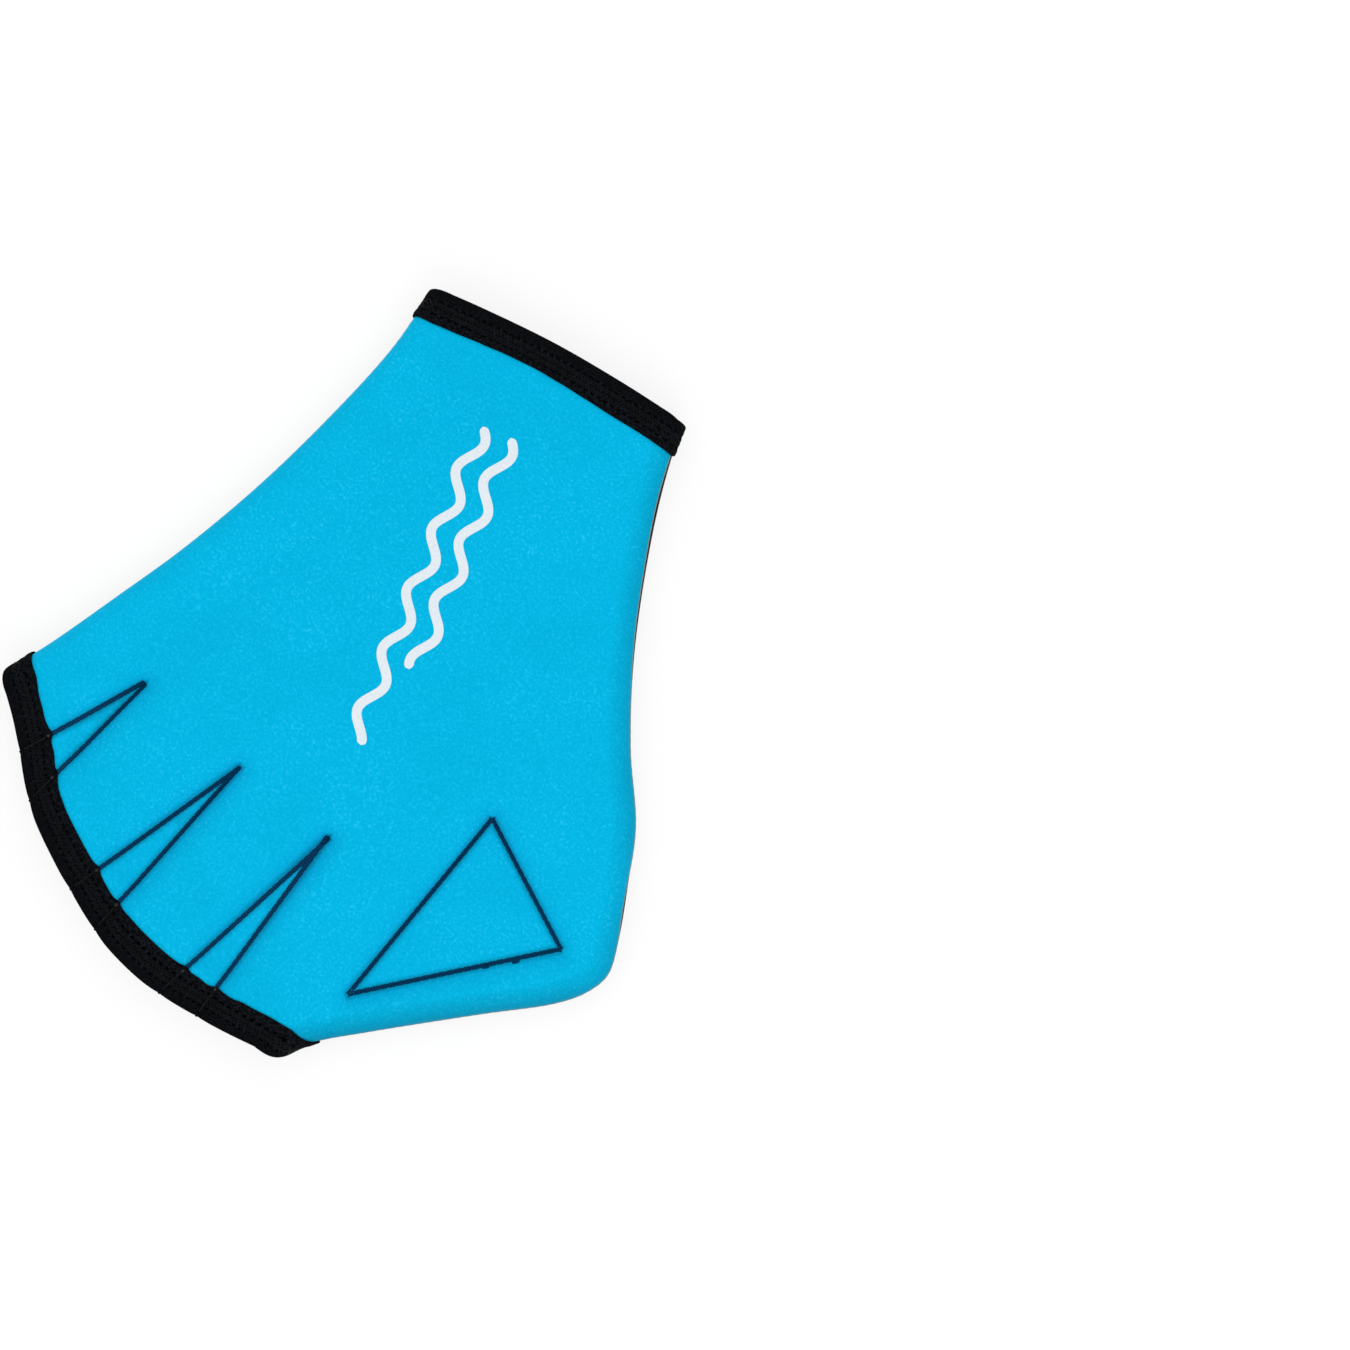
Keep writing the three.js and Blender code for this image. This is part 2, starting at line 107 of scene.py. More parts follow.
def addCamera():
    width = view["imagePixels"] * view["mmPerPixel"]
    data = bpy.data.cameras.new("camera")
    data.sensor_fit = "HORIZONTAL"
    data.sensor_width = view["sensor"]
    data.lens = view["sensor"] * view["distance"] / width
    data.clip_end = view["farthest"]
    camera = bpy.data.objects.new("camera", data)
    bpy.context.scene.collection.objects.link(camera)
    right = Vector((*view["photoRight"], 0)).normalized()
    up = Vector((0, 0, 1)).cross(right)
    turn = Matrix((right, up, (0, 0, 1))).transposed().to_4x4()
    x, y = view["middle"]
    place = Vector((x + palmMiddle[0], y + palmMiddle[1], view["height"] + view["distance"])) * mm
    camera.matrix_world = Matrix.Translation(place) @ turn
    bpy.context.scene.camera = camera
    print("camera: frame", round(width, 1), "mm, lens", round(data.lens, 1))


studio = {
    "floorSize": 6.0,
    "floorColour": "#7c7c7c",
    "floorGlow": 0.8,  # lit from below, so that shadows stay faint
    "floorDrop": 0.05,  # mm under the palm, so that the two share no plane
    "sky": 0.9,
    "lights": [
        # name, place over the glove in m, size in m, watts
        ("softboxLeft", (-0.9, 0.5, 1.1), 0.9, 4.0),
        ("softboxRight", (0.8, -0.9, 1.3), 0.9, 2.0),
    ],
}


def addStudio():
    bpy.ops.object.select_all(action="DESELECT")
    bpy.ops.mesh.primitive_plane_add(size=studio["floorSize"], location=(0, 0, -studio["floorDrop"] * mm))
    floor = bpy.context.object
    floor.name = "floor"
    # matt white paper on a light table: even, with no shine
    paper = newMaterial(
        "matt white paper", Base_Color=srgb(studio["floorColour"]), Roughness=0.9, Specular_IOR_Level=0.1,
        Emission_Color=(1, 1, 1, 1), Emission_Strength=studio["floorGlow"],
    )[0]
    floor.data.materials.append(paper)

    world = bpy.data.worlds.new("studio")
    world.use_nodes = True
    sky = world.node_tree.nodes["Background"].inputs
    sky["Color"].default_value, sky["Strength"].default_value = (1, 1, 1, 1), studio["sky"]
    bpy.context.scene.world = world

    for name, place, size, watts in studio["lights"]:
        data = bpy.data.lights.new(name, "AREA")
        data.shape = "DISK"
        data.size = size
        data.energy = watts
        lamp = bpy.data.objects.new(name, data)
        bpy.context.scene.collection.objects.link(lamp)
        lamp.location = place
        lamp.rotation_euler = (-Vector(place)).to_track_quat("-Z", "Y").to_euler()
    bpy.context.scene.view_settings.view_transform = "Standard"
    print("studio: floor and", len(studio["lights"]), "lights")


# the plan of the glove, laid flat

wristLittle, wristThumb = (64.1, -103.1), (-20.5, -128.3)
fingerLittle, fingerThumb = (74.2, 74.1), (-70.2, 97.4)
plan = {
    "wristEdge": [wristLittle, (48.2, -109.3), (25.3, -117.2), (1.9, -123.4), wristThumb],
    "fingerEdge": [
        fingerLittle, (60.2, 82.0), (40.6, 95.8), (18.4, 104.3), (-4.5, 110.1),
        (-27.9, 109.9), (-51.1, 103.9), fingerThumb,
    ],
    "littleSide": [
        wristLittle, (60.4, -80.2), (59.2, -51.1), (59.8, -21.1), (62.6, 8.9),
        (66.4, 32.4), (70.5, 56.2), fingerLittle,
    ],
    "thumbSide": [
        wristThumb, (-25.6, -117.4), (-38.0, -97.0), (-59.3, -68.1), (-79.6, -46.1),
        (-97.6, -30.2), (-108.4, -16.3), (-120.0, 0.2), (-124.2, 8.9), (-123.4, 16.8),
        (-119.2, 25.8), (-104.8, 45.2), (-84.0, 73.9), (-73.8, 88.8), fingerThumb,
    ],
    # webs between the fingers: the tip, and where its two lines meet the finger edge as shares
    "fingerWebs": [
        ((41.1, 45.9), 0.161, 0.259),
        ((1.9, 43.6), 0.4545, 0.547),
        ((-32.8, 39.4), 0.728, 0.814),
    ],
    "thumbWeb": [(-64.6, -0.5), (-71.5, 69.6), (-108.2, 13.1)],
    # height in degrees over the widest line at which each side is joined, by share of its length
    "littleRoll": [(0, -6), (1, -10)],
    "thumbRoll": [(0, 20), (0.09, 30), (0.2, 25), (0.36, 12), (0.46, 4), (0.55, 24), (0.62, 3), (1, -6)],
    # how much painted shade darkens the back where it turns under at each side, by share of its length
    "littleShade": [(0, 0), (1, 0)],
    "thumbShade": [(0, 0.25), (0.4, 0.25), (0.46, 0.3), (0.52, 0.2), (0.62, 0.3), (0.7, 0.44), (1, 0.48)],
    "lineStep": 0.5,
    "curveSteps": 40,  # between two points, before the line is cut at equal steps
}

sheetShape = {
    "thickness": 2.2,
    "palmLoft": 9.5,
    "edgeLoft": 7.4,
    "loftStart": 14.0,
    "loftRun": 32.0,
    "edgeRadius": 6.0,
    "seamGap": 0.3,
    "pinchWidth": 8.0,
    "webLoft": 1.4,
    "webPinchWidth": 3.0,
    "pinchShare": 0.35,  # part of the pull at a sewn line that lifts the palm panel
    "thumbPinchShare": 0.3,
    "pinchCurve": 2.4,
    "slack": 0.3,  # height of the slow waves in the back panel, mm
    "slackWaves": [(0.065, 0.105, 0.4), (-0.095, 0.055, 2.1), (0.04, -0.135, 4.0)],
    # mm from each edge over which the slack grows
    "slackFrom": {"toSide": (4, 26), "toMouth": (14, 34), "toLine": (2, 12)},
}
tapeShape = {
    "width": 10.0,
    "thickness": 0.7,
    "clearance": 0.3,
    "lipGap": 0.5,
    "ramp": 8.0,
    "cornerRelief": (1.3, 2.4),  # at the wrist and at the fingers
    "foldRun": 1.6,  # of the edge's radius, where stations along a mouth stand close
    "foldStops": 14,
}
back, palm = 1, -1
tapeStand = tapeShape["clearance"] + tapeShape["thickness"]
edgeRadius, tapeWidth = sheetShape["edgeRadius"], tapeShape["width"]
rampEnd = tapeWidth + tapeShape["ramp"]
runPast = 2 * tapeStand  # how far the finger webs' lines run on past the finger edge
fingerLines = 2 * len(plan["fingerWebs"])  # the first sewn lines; the rest go round the thumb web
mouthNames, sideNames = ("wristEdge", "fingerEdge"), ("littleSide", "thumbSide")


def smooth(value, low, high):
    x = np.clip((value - low) / (high - low), 0, 1)
    return x * x * (3 - 2 * x)


def easedThrough(rows, share):
    # values given by share, eased from each to the next
    stops, values = np.array(rows, float).T
    place = np.clip(np.searchsorted(stops, share) - 1, 0, len(stops) - 2)
    return values[place] + smooth(share, stops[place], stops[place + 1]) * (values[place + 1] - values[place])


def wayOf(start, end):
    return (end - start) / norm(end - start)


def leftOf(way):
    return np.stack([-way[..., 1], way[..., 0]], axis=-1)


def arcsOf(line):
    steps = norm(np.diff(line, axis=0), axis=1)
    return np.concatenate([[0], np.cumsum(steps)])


def curveThrough(rows, spacing):
    # centripetal Catmull-Rom, then points at equal spacing
    p = np.array(rows, float)
    p = np.vstack([2 * p[0] - p[1], p, 2 * p[-1] - p[-2]])
    share = np.linspace(0, 1, plan["curveSteps"], endpoint=False)[:, None]
    found = []
    for a, b, c, d in zip(p, p[1:], p[2:], p[3:]):
        ab, bc, cd = (norm(v) ** 0.5 for v in (b - a, c - b, d - c))
        leave = ((b - a) / ab - (c - a) / (ab + bc) + (c - b) / bc) * bc
        arrive = ((c - b) / bc - (d - b) / (bc + cd) + (d - c) / cd) * bc
        cubic = 2 * (b - c) + leave + arrive
        square = 3 * (c - b) - 2 * leave - arrive
        found.append(b + leave * share + square * share ** 2 + cubic * share ** 3)
    line = np.vstack([*found, p[-2:-1]])
    arcs = arcsOf(line)
    even = np.linspace(0, arcs[-1], max(2, round(arcs[-1] / spacing)) + 1)
    return np.column_stack([np.interp(even, arcs, line[:, k]) for k in (0, 1)])


def makeRail(name):
    line = curveThrough(plan[name], plan["lineStep"])
    arcs = arcsOf(line)
    ways = np.gradient(line, axis=0)
    ways /= norm(ways, axis=1)[:, None]
    return {"line": line, "arcs": arcs, "ways": ways, "length": arcs[-1]}


def along(rail, arc):
    # points and directions at arc lengths of a rail, which runs straight on past either end
    arc = np.atleast_1d(np.asarray(arc, float))
    inside = np.clip(arc, 0, rail["length"])
    point = np.column_stack([np.interp(inside, rail["arcs"], rail["line"][:, k]) for k in (0, 1)])
    way = np.column_stack([np.interp(inside, rail["arcs"], rail["ways"][:, k]) for k in (0, 1)])
    way /= norm(way, axis=1)[:, None]
    return point + way * (arc - inside)[:, None], way


rails = {name: makeRail(name) for name in (*mouthNames, *sideNames)}
rails["littleSide"].update(inwardTurn=1, roll=plan["littleRoll"], shade=plan["littleShade"])
rails["thumbSide"].update(inwardTurn=-1, roll=plan["thumbRoll"], shade=plan["thumbShade"])


def inwardOf(rail, way):
    return leftOf(way) * rail["inwardTurn"]


def placeSewnLines():
    # two lines for each finger web, run on past the edge, and three round the thumb web
    lines, webs, crossings = [], [], []
    edge = rails["fingerEdge"]
    for tip, *shares in plan["fingerWebs"]:
        ends = []
        for share in shares:
            end = along(edge, share * edge["length"])[0][0]
            way = wayOf(tip, end)
            crossings.append({"arc": share * edge["length"], "inward": -way})
            ends.append(end + way * runPast)
            lines.append((np.array(tip), ends[-1]))
        webs.append(np.array([tip, *ends]))
    corners = np.array(plan["thumbWeb"])
    lines += [(corners[i], corners[(i + 1) % 3]) for i in range(3)]
    webs.append(corners)
    return lines, webs, crossings


sewnLines, webAreas, webCrossings = placeSewnLines()


def toSegment(points, start, end):
    way = end - start
    share = np.clip((points - start) @ way / (way @ way), 0, 1)
    return norm(points - start - share[:, None] * way, axis=1)


def toRail(points, rail):
    # distance to a rail's line, and arc length of the nearest point, run on past its ends
    best, arc = np.zeros(len(points)), np.zeros(len(points))
    block = 2000  # points at a time, to spare memory
    for first in range(0, len(points), block):
        part = slice(first, first + block)
        apart = norm(points[part, None] - rail["line"][None], axis=2)
        nearest = apart.argmin(axis=1)
        best[part] = apart[np.arange(len(nearest)), nearest]
        arc[part] = rail["arcs"][nearest]
    foot, way = along(rail, arc)
    return best, arc + ((points - foot) * way).sum(axis=1)


def insideOf(polygon, points):
    inside = np.zeros(len(points), bool)
    for a, b in zip(polygon, np.roll(polygon, -1, axis=0)):
        crosses = (a[1] > points[:, 1]) != (b[1] > points[:, 1])
        rise = b[1] - a[1] if b[1] != a[1] else 1e-9
        inside ^= crosses & (points[:, 0] < a[0] + (points[:, 1] - a[1]) / rise * (b[0] - a[0]))
    return inside


def measurePlan(points):
    # all that the height of the sheets over a plan point depends on
    points = np.asarray(points, float)
    found = {"points": points, "foot": np.zeros_like(points), "inward": np.zeros_like(points)}
    found["seam"], found["shade"] = np.zeros(len(points)), np.zeros(len(points))
    little, thumb = (toRail(points, rails[name]) for name in sideNames)
    byThumb = thumb[0] < little[0]
    for name, (_, arc), chosen in (("littleSide", little, ~byThumb), ("thumbSide", thumb, byThumb)):
        rail = rails[name]
        spot, way = along(rail, arc[chosen])
        found["foot"][chosen], found["inward"][chosen] = spot, inwardOf(rail, way)
        share = np.clip(arc[chosen] / rail["length"], 0, 1)
        found["seam"][chosen] = np.radians(easedThrough(rail["roll"], share))
        found["shade"][chosen] = easedThrough(rail["shade"], share)
    found["toSide"] = np.maximum(0, ((points - found["foot"]) * found["inward"]).sum(axis=1))
    found["toMouth"] = np.min([toRail(points, rails[name])[0] for name in mouthNames], axis=0)
    apart = np.array([toSegment(points, *line) for line in sewnLines])
    lifts = np.full(len(sewnLines), sheetShape["thumbPinchShare"])
    lifts[:fingerLines] = sheetShape["pinchShare"]
    found["toLine"], found["lift"] = apart.min(axis=0), lifts[apart.argmin(axis=0)]
    found["web"] = np.any([insideOf(area, points) for area in webAreas], axis=0)
    return found


def hollowOver(found):
    s = sheetShape
    cover = 1 - smooth(found["toMouth"], tapeWidth, rampEnd)
    depth = np.minimum(found["toMouth"], found["toSide"])
    grown = smooth(depth, s["loftStart"], s["loftStart"] + s["loftRun"])
    free = s["edgeLoft"] + (s["palmLoft"] - s["edgeLoft"]) * grown
    lips = 2 * tapeStand + tapeShape["lipGap"]
    tight = s["seamGap"] + (lips - s["seamGap"]) * cover
    full = np.where(found["web"], tight + s["webLoft"], free)
    reach = np.where(found["web"], s["webPinchWidth"], s["pinchWidth"])
    share = np.clip(found["toLine"] / reach, 0, 1)
    gap = tight + (full - tight) * (1 - (1 - share) ** s["pinchCurve"])
    lower = cover * tapeStand + s["thickness"] + found["lift"] * (free - gap)
    return lower, gap


def slackOver(found):
    # slow waves of the empty back panel, none at its edges or its sewn lines
    x, y = found["points"].T
    wave = sum(np.sin(kx * x + ky * y + start) for kx, ky, start in sheetShape["slackWaves"])
    free = 1.0
    for edge, span in sheetShape["slackFrom"].items():
        free = free * smooth(found[edge], *span)
    return sheetShape["slack"] * wave * free


def raisePlan(found, face, depth, turn=None):
    # plan points of one sheet in space, mm. depth is measured in from its outer face,
    # and turn moves a point up from the seam round the edge
    s = sheetShape
    lower, gap = hollowOver(found)
    if turn is None:
        halfSeam = s["seamGap"] / (2 * edgeRadius - s["thickness"])
        reach = np.minimum(1, found["toSide"] / edgeRadius)
        seam = found["seam"] + face * halfSeam
        angle = seam + (face * math.pi / 2 - seam) * reach
    else:
        reach = np.zeros(len(found["seam"]))
        angle = found["seam"] + turn
    half = gap / 2 + s["thickness"] - depth
    inset = edgeRadius - (edgeRadius - depth) * np.cos(angle)
    rolled = found["foot"] + found["inward"] * inset[:, None]
    flat = np.where((reach < 1)[:, None], rolled, found["points"])
    height = lower + gap / 2 + half * np.sin(angle)
    if face == back:
        height = height + slackOver(found)
    return np.column_stack([flat + palmMiddle, height])


def sideShift(fromWrist, rail, arc, inset):
    # how far a row of a mouth, inset from its edge, moves along a side
    relief = tapeShape["cornerRelief"][0 if fromWrist else 1]
    relief *= (1 - min(1, arc / edgeRadius)) ** 2
    drawn = inset + relief * np.clip(1 - inset / tapeWidth, 0, 1)
    end = 0 if fromWrist else rail["length"]
    return along(rail, end + (drawn if fromWrist else -drawn))[0][0] - along(rail, end)[0][0]


def mouthPoint(name, arc, inset):
    # a point at an arc length of a mouth's edge and inset from it, between the two sides' slants
    edge = rails[name]
    fromWrist = name == "wristEdge"
    guides = [
        (edgeRadius, sideShift(fromWrist, rails["littleSide"], arc, inset)),
        *((c["arc"], c["inward"] * inset) for c in ([] if fromWrist else webCrossings)),
        (edge["length"] - edgeRadius, sideShift(fromWrist, rails["thumbSide"], edge["length"] - arc, inset)),
    ]
    stops = [g[0] for g in guides]
    shift = [np.interp(arc, stops, [g[1][k] for g in guides]) for k in (0, 1)]
    return along(edge, arc)[0][0] + shift


def mouthArcs(name, step):
    # stations along a mouth, close together at the side folds, with one on each sewn line
    length = rails[name]["length"]
    fold = tapeShape["foldRun"] * edgeRadius
    folds = np.linspace(0, fold, tapeShape["foldStops"])
    stops = [fold, *([] if name == "wristEdge" else [c["arc"] for c in webCrossings]), length - fold]
    arcs = [*folds, *(length - folds)]
    for a, b in zip(stops, stops[1:]):
        arcs += list(np.linspace(a, b, max(2, math.ceil((b - a) / step)) + 1))
    return np.unique(np.round(arcs, 4))


# meshes

def meshPiece(name, vertices, faces, materials, slots=None, attributes=None, smoothAngle=50):
    mesh = bpy.data.meshes.new(name)
    mesh.from_pydata([tuple(v) for v in np.asarray(vertices) * mm], [], faces)
    for material in materials:
        mesh.materials.append(material)
    if slots is not None:
        mesh.polygons.foreach_set("material_index", np.asarray(slots, np.int32))
    for label, values in (attributes or {}).items():
        layer = mesh.attributes.new(label, "FLOAT", "POINT")
        layer.data.foreach_set("value", np.asarray(values, np.float32))
    piece = bpy.data.objects.new(name, mesh)
    bpy.context.scene.collection.objects.link(piece)
    bpy.ops.object.select_all(action="DESELECT")
    piece.select_set(True)
    bpy.context.view_layer.objects.active = piece
    bpy.ops.object.mode_set(mode="EDIT")
    bpy.ops.mesh.select_all(action="SELECT")
    bpy.ops.mesh.normals_make_consistent(inside=False)
    bpy.ops.object.mode_set(mode="OBJECT")
    bpy.ops.object.shade_smooth_by_angle(angle=math.radians(smoothAngle))
    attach(piece, "root")
    print(name + ":", len(faces), "faces")
    return piece


# finishes

jersey = {
    "wale": 0.7,  # mm between ribs, wider than the real 0.45 so that they show
    "course": 0.55,
    "wander": 0.6,  # how far the ribs stray from straight
    "speckle": 0.85,  # mm, the size of the paler loops
    "paleFrom": (0.42, 0.78),  # of the speckle's noise
    "cloud": 22.0,  # mm, the size of the slow changes
    "tone": (0.965, 1.02),  # from one cloud to the next
    # two colours of each cloth, and its stray fibres
    "blue": ("#01afdc", "#08beec", "#5fc8ea"),
    "black": ("#0b0c0d", "#17191a", "#1d1f21"),
    "lining": ("#0d0e10", "#16181a", "#1d1f21"),
    "fuzzFrom": (0.6, 0.74),  # of the speckle's noise
    "fuzzShare": (0.04, 0.18),  # how much of the fuzz shows, from one cloud to the next
    "groove": (0.7, 2.1),  # mm from a sewn line over which its dip's shade fades
    "grooveShade": 0.66,
}


def neopreneJersey(name, colour, pale, fuzz):
    # Nylon jersey glued on neoprene foam: dull, finely ribbed, with paler loops and a little fuzz,
    # and with painted shade beside the sewn lines and where the cloth turns under at the side seams.
    j = jersey
    material, shader, add = newMaterial(
        name, Roughness=0.88, Specular_IOR_Level=0.03, Sheen_Weight=0.1, Sheen_Roughness=0.3
    )
    place = add("TexCoord").outputs["Object"]
    loops = add("TexNoise", {"Vector": place}, Scale=1 / (j["speckle"] * mm), Detail=2.0)
    cloud = add("TexNoise", {"Vector": place}, Scale=1 / (j["cloud"] * mm), Detail=3.0)
    wale, course = (
        add(
            "TexWave", {"Vector": place}, bands_direction=way,
            Scale=2 * math.pi / (20 * spacing * mm), Distortion=j["wander"], Detail=0.0,
        )
        for way, spacing in (("X", j["wale"]), ("Y", j["course"]))
    )

    low, high = j["paleFrom"]
    level = add("MapRange", {"Value": loops}, From_Min=low, From_Max=high)
    blend = add("Mix", {"Factor": level}, data_type="RGBA", i6=srgb(colour), i7=srgb(pale))
    least, most = j["fuzzShare"]
    patch = add("MapRange", {"Value": cloud}, From_Min=0.45, From_Max=0.62, To_Min=least, To_Max=most)
    low, high = j["fuzzFrom"]
    fibres = add("MapRange", {"Value": loops, "To Max": patch}, From_Min=low, From_Max=high)
    frosted = add("Mix", {"Factor": fibres, "i6": blend.outputs[2]}, data_type="RGBA", i7=srgb(fuzz))

    toLine, rim = (add("Attribute", attribute_name=label).outputs["Fac"] for label in ("toLine", "rimShade"))
    low, high = j["groove"]
    # painted shade in the grooves beside each sewn line
    sunk = add("MapRange", {"Value": toLine}, From_Min=low, From_Max=high, To_Min=j["grooveShade"])
    low, high = j["tone"]
    tone = add("MapRange", {"Value": cloud}, From_Min=0.3, From_Max=0.7, To_Min=low, To_Max=high)
    shade = add("Math", {"i0": sunk, "i1": tone}, operation="MULTIPLY")
    # painted shade along the rims, where the back turns under
    shaded = add("Math", {"i0": shade, "i1": rim}, operation="MULTIPLY")
    colourWithPaintedShade = add("HueSaturation", {"Color": frosted.outputs[2], "Value": shaded})

    knit = add("Math", {"i0": wale.outputs["Fac"], "i1": course.outputs["Fac"]}, operation="MULTIPLY")
    height = add("Math", {"i0": knit, "i1": loops}, operation="ADD")
    bump = add("Bump", {"Height": height}, Strength=0.3, Distance=0.08 * mm)
    join(shader, {"Base Color": colourWithPaintedShade, "Normal": bump})
    return material


foamFinish = {"cell": 0.35, "cut": "#4b4f4a", "glued": "#7c8885"}  # mm, and colours


def cutFoam(name, colour):
    # Neoprene where it is cut: closed cells, grey, rubbery and dull.
    material, shader, add = newMaterial(name, Base_Color=srgb(colour), Roughness=0.8, Specular_IOR_Level=0.2)
    place = add("TexCoord").outputs["Object"]
    cells = add("TexVoronoi", {"Vector": place}, Scale=1 / (foamFinish["cell"] * mm))
    bump = add("Bump", {"Height": cells}, Strength=0.4, Distance=0.06 * mm)
    join(shader, {"Normal": bump})
    return material


tapeFinish = {
    "rib": 0.8,  # mm, drawn twice the real width
    "lint": 0.7,  # mm
    "colour": ("#060709", "#1a1d23"),
    "fold": ("#07080a", "#111317"),  # towards the fold, where no thread darkens it
    "stitched": (1.9, 2.9, 7.4, 8.2),  # mm from the edge: the holes come in and go out
    "holeRadius": 0.7,
    "holeSoft": 0.42,  # share of the radius that is darkest
    "ragged": 0.3,
    "holeDepth": 4.0,
    # painted shade inside the needle holes
    "hole": "#000000",
}


def knitTape(name):
    # Nylon and elastane binding tape: black and dull, ribbed along its length, with three staggered
    # rows of needle holes, sunk and darkened with painted shade.
    f = tapeFinish
    material, shader, add = newMaterial(name, Roughness=0.9, Specular_IOR_Level=0.02)
    place = add("TexCoord").outputs["Object"]
    across, inset, stitch = (
        add("Attribute", attribute_name=label).outputs["Fac"] for label in ("across", "inset", "stitch")
    )
    lint = add("TexNoise", {"Vector": place}, Scale=1 / (f["lint"] * mm), Detail=3.0)

    # along and across to the nearest hole of two interleaved grids
    first, middle, last = coverStitch["rows"]
    halfTurn = add("Math", {"i0": stitch}, operation="PINGPONG", i1=0.5)
    rows = add("MapRange", {"Value": inset}, clamp=False, From_Min=first, From_Max=last)
    halfRow = add("Math", {"i0": rows}, operation="PINGPONG", i1=0.5)
    spot = add("CombineXYZ", {"X": halfTurn, "Y": halfRow})
    half = coverStitch["half"]
    sized = add("VectorMath", {"i0": spot}, operation="MULTIPLY", i1=(2 * half, last - first, 0))
    near = add("VectorMath", {"i0": sized}, operation="LENGTH").outputs["Value"]
    other = add("VectorMath", {"i0": sized}, operation="DISTANCE", i1=(half, middle - first, 0))
    toHole = add("Math", {"i0": near, "i1": other.outputs["Value"]}, operation="MINIMUM")
    ragged = add("Math", {"i0": lint, "i2": toHole}, operation="MULTIPLY_ADD", i1=-f["ragged"])
    hole = add(
        "MapRange", {"Value": ragged}, interpolation_type="SMOOTHSTEP",
        From_Min=f["holeSoft"] * f["holeRadius"], From_Max=f["holeRadius"], To_Min=1.0, To_Max=0.0,
    )
    enter, inside, leave, outside = f["stitched"]
    begun, ended = (
        add(
            "MapRange", {"Value": inset}, interpolation_type="SMOOTHSTEP",
            From_Min=low, From_Max=high, To_Min=before, To_Max=1.0 - before,
        )
        for low, high, before in ((enter, inside, 0.0), (leave, outside, 1.0))
    )
    zone = add("Math", {"i0": begun, "i1": ended}, operation="MULTIPLY")
    sunk = add("Math", {"i0": hole, "i1": zone}, operation="MULTIPLY")

    ramp = add("MapRange", {"Value": lint}, From_Min=0.4, From_Max=0.75)
    plain, folded = (
        add("Mix", {"Factor": ramp}, data_type="RGBA", i6=srgb(low), i7=srgb(high)).outputs[2]
        for low, high in (f["colour"], f["fold"])
    )
    cloth = add("Mix", {"Factor": begun, "i6": folded, "i7": plain}, data_type="RGBA")
    # painted shade in the needle holes
    holesWithPaintedShade = add("Mix", {"Factor": sunk, "i6": cloth.outputs[2]}, data_type="RGBA", i7=srgb(f["hole"]))

    turns = add("Math", {"i0": across}, operation="MULTIPLY", i1=2 * math.pi / f["rib"])
    rib = add("Math", {"i0": turns}, operation="SINE")
    height = add("Math", {"i0": rib, "i1": lint}, operation="ADD")
    dented = add("Math", {"i0": sunk, "i2": height}, operation="MULTIPLY_ADD", i1=-f["holeDepth"])
    bump = add("Bump", {"Height": dented}, Strength=0.5, Distance=0.07 * mm)
    join(shader, {"Base Color": holesWithPaintedShade.outputs[2], "Normal": bump})
    return material


# each thread's colour, and the paler colour of the painted highlight on its plies
threadColours = {
    "navy": ("#002948", "#004268"),
    "black": ("#060709", "#0e1013"),
    "charcoal": ("#101112", "#1e1f20"),
    "worn grey": ("#262422", "#423f3a"),
}


def sewingThread(name, colour, pale):
    # Bonded polyester thread: twisted plies, with a painted highlight along their tops.
    material, shader, add = newMaterial(name, Roughness=0.6, Specular_IOR_Level=0.06)
    twist = add("Attribute", attribute_name="twist").outputs["Fac"]
    turns = add("Math", {"i0": twist}, operation="MULTIPLY", i1=2 * math.pi)
    ply = add("Math", {"i0": turns}, operation="SINE")
    level = add("MapRange", {"Value": ply}, From_Min=-1.0, From_Max=1.0)
    # painted highlight along each ply
    blend = add("Mix", {"Factor": level}, data_type="RGBA", i6=srgb(colour), i7=srgb(pale))
    bump = add("Bump", {"Height": ply}, Strength=0.5, Distance=0.06 * mm)
    join(shader, {"Base Color": blend.outputs[2], "Normal": bump})
    return material


inkFinish = {"colour": "#eef3f6", "thin": "#c9d8e2", "grain": 0.6}  # mm


def screenInk(name):
    # Plastisol ink printed through a screen: opaque and smooth, the knit just shows through.
    f = inkFinish
    material, shader, add = newMaterial(name, Roughness=0.5, Specular_IOR_Level=0.3)
    place = add("TexCoord").outputs["Object"]
    grain = add("TexNoise", {"Vector": place}, Scale=1 / (f["grain"] * mm), Detail=2.0)
    blend = add("Mix", {"Factor": grain}, data_type="RGBA", i6=srgb(f["colour"]), i7=srgb(f["thin"]))
    bump = add("Bump", {"Height": grain}, Strength=0.3, Distance=0.05 * mm)
    join(shader, {"Base Color": blend.outputs[2], "Normal": bump})
    return material


# the two neoprene sheets

sheetMesh = {
    "sideStep": 1.6,
    "ringRows": 10,
    "lastRing": 1.5,  # mm past the side's fold
    "mouthStep": 1.6,
    "mouthInsets": [3, 6, 9, 10, 11, 12, 13, 14, 15, 16, 17, 18],
    "lineStep": 1.0,
    "lineRows": [0.35, 0.7, 1.1, 1.6, 2.3, 3.2, 4.3, 5.8, 8.0],
    "fieldStep": 3.0,
    "fieldRow": 0.866,  # of the step, for even triangles
    # least spacing, mm: of a row 1 mm from a sewn line, of any such row, of the other rows, and of
    # the filling as a share of its step
    "spacing": {"line": 0.42, "least": 0.28, "growth": 0.7, "rows": 0.45, "field": 0.6},
    "evenFrom": 3000,  # so many points are the filling, which is evenly spaced already
    "merge": 1e-5,
    "leastArea": 1e-4,
    "turnsUnder": (1.5, 7.5),  # mm from the side seam over which the rim's shade fades
    "farFromLine": 9.0,  # written on the lining, which has no shaded grooves
}


